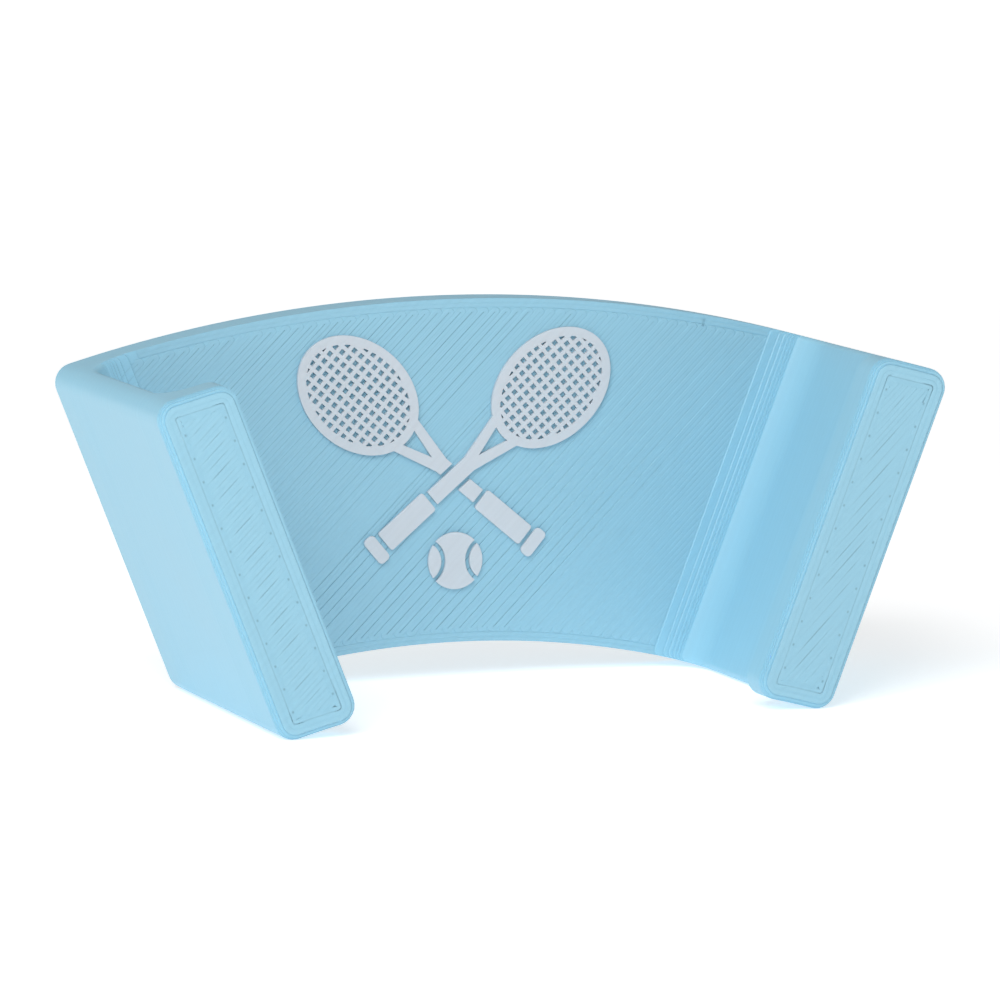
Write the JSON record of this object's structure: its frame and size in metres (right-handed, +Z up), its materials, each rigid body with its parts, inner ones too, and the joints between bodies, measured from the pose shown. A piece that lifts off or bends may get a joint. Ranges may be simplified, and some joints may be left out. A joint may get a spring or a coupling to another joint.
{
  "type": "racket wall holder",
  "caption": "Rigid printed wall holder whose hooked side wings take a racket's throat, with a thin raised emblem on the front of its plate.",
  "frame": {"origin": "middle of the plate's flat back face, half way between the crowns of its two arcs", "axes": "+X to the right seen from the front, +Y into the wall, +Z up; the wings stand out towards -Y"},
  "size_m": [0.0838, 0.0357, 0.0399],
  "materials": {
    "blue_plastic": "light blue printed plastic, matte with fine print lines",
    "white_plastic": "off-white printed plastic, matte"
  },
  "bodies": {
    "root": {"holder_body": "blue_plastic", "front_racket_head": "white_plastic", "front_racket_grip": "white_plastic", "front_racket_butt": "white_plastic", "rear_racket_head": "white_plastic", "rear_racket_shaft": "white_plastic", "rear_racket_grip": "white_plastic", "rear_racket_butt": "white_plastic", "ball_left": "white_plastic", "ball_centre": "white_plastic", "ball_right": "white_plastic"}
  },
  "joints": []
}
